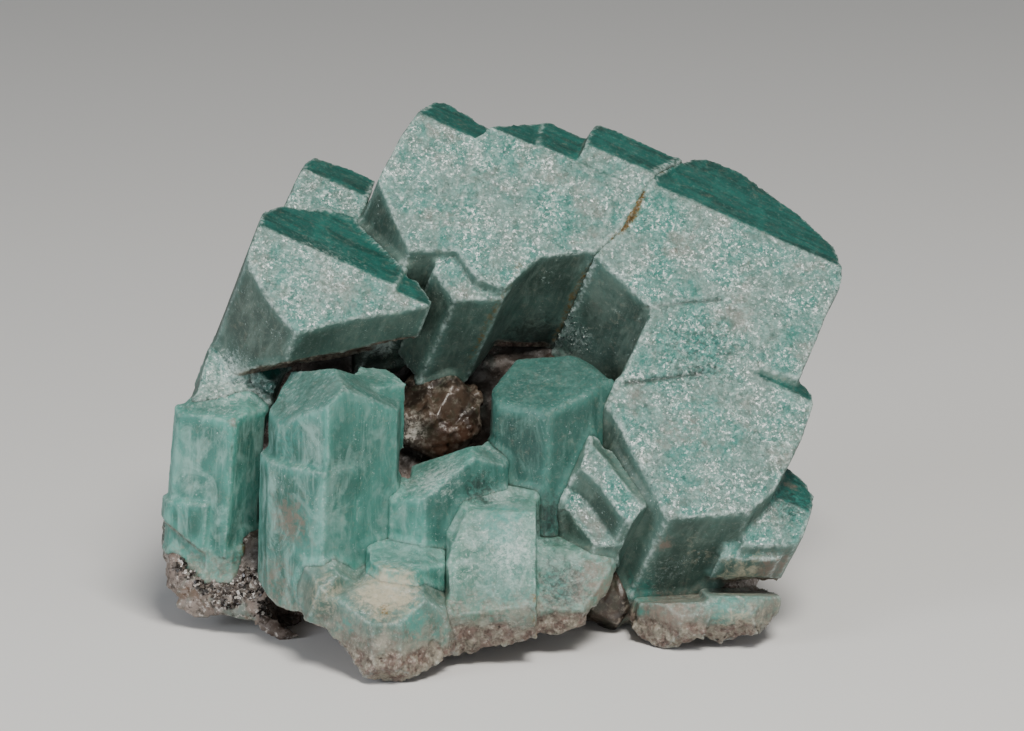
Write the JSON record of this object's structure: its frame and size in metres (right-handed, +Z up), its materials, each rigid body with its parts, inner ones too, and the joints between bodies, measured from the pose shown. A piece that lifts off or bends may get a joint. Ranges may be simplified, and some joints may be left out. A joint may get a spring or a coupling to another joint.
{
  "type": "rough microcline specimen",
  "caption": "Rough microcline: blocky blue-green amazonite crystals with frosted sloping tops, grown together on broken pink feldspar with smoky quartz.",
  "frame": {"origin": "middle of the overall box in X and Y, on the surface that the specimen rests on", "axes": "+X along the longest overall size, towards the large right crystal; the show side faces -Y; +Z up"},
  "size_m": [0.1116, 0.08, 0.0803],
  "materials": {
    "frosted_amazonite": "blue-green microcline, frosted on the sloping tops, satin on the side faces",
    "pale_amazonite": "pale grey-green microcline with white streaks, satin",
    "broken_amazonite": "cream, pink and green broken microcline, rough",
    "smoky_quartz": "dark brown broken quartz, glossy",
    "rough_feldspar": "pinkish brown broken feldspar, matt and rough"
  },
  "bodies": {
    "root": {"right_crystal": "frosted_amazonite", "top_crystal": "frosted_amazonite", "left_crystal": "frosted_amazonite", "back_left_crystal": "frosted_amazonite", "stepped_crystal": "frosted_amazonite", "small_left_crystal": "frosted_amazonite", "front_block": "frosted_amazonite", "front_left_column": "pale_amazonite", "outer_left_column": "pale_amazonite", "centre_column": "pale_amazonite", "low_centre_crystal": "pale_amazonite", "small_front_crystal": "pale_amazonite", "lower_front_crystal": "broken_amazonite", "right_foot_crystal": "broken_amazonite", "smoky_quartz_centre": "smoky_quartz", "smoky_quartz_left": "smoky_quartz", "smoky_quartz_right": "smoky_quartz", "feldspar_base": "rough_feldspar"}
  },
  "joints": []
}
